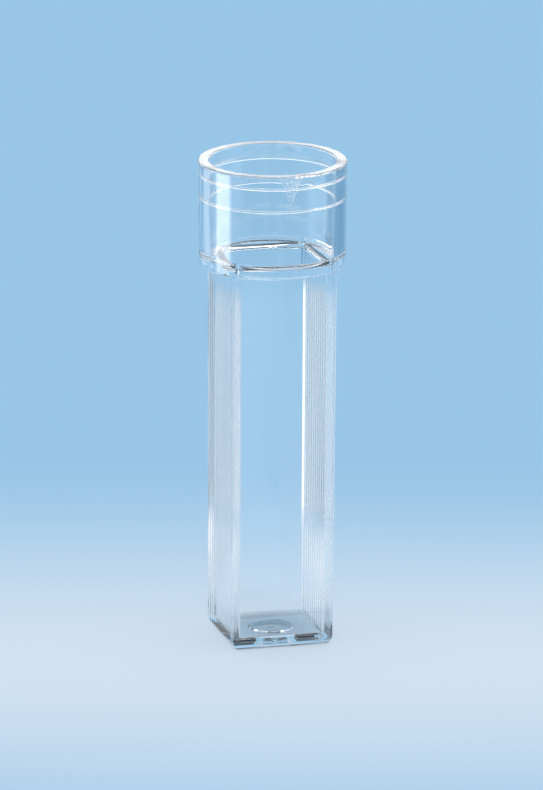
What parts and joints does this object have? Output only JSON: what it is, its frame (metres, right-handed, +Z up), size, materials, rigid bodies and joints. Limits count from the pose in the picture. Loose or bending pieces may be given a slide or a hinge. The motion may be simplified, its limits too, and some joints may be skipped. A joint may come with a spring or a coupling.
{
  "type": "cuvette",
  "caption": "Square clear measuring cuvette with fluted grip sides and a round stopper collar, moulded in one piece; it stands on its foot.",
  "frame": {"origin": "centre of the foot's outline, on the plane that the foot stands on", "axes": "+Z up along the well towards the collar's rim; -Y out of the window under the triangular mark; +X out of one of the two fluted grip sides"},
  "size_m": [0.0174, 0.0174, 0.0574],
  "materials": {
    "clear_polystyrene": "clear, polished; the flutes scatter light"
  },
  "bodies": {
    "root": {"cuvette": "clear_polystyrene"}
  },
  "joints": []
}
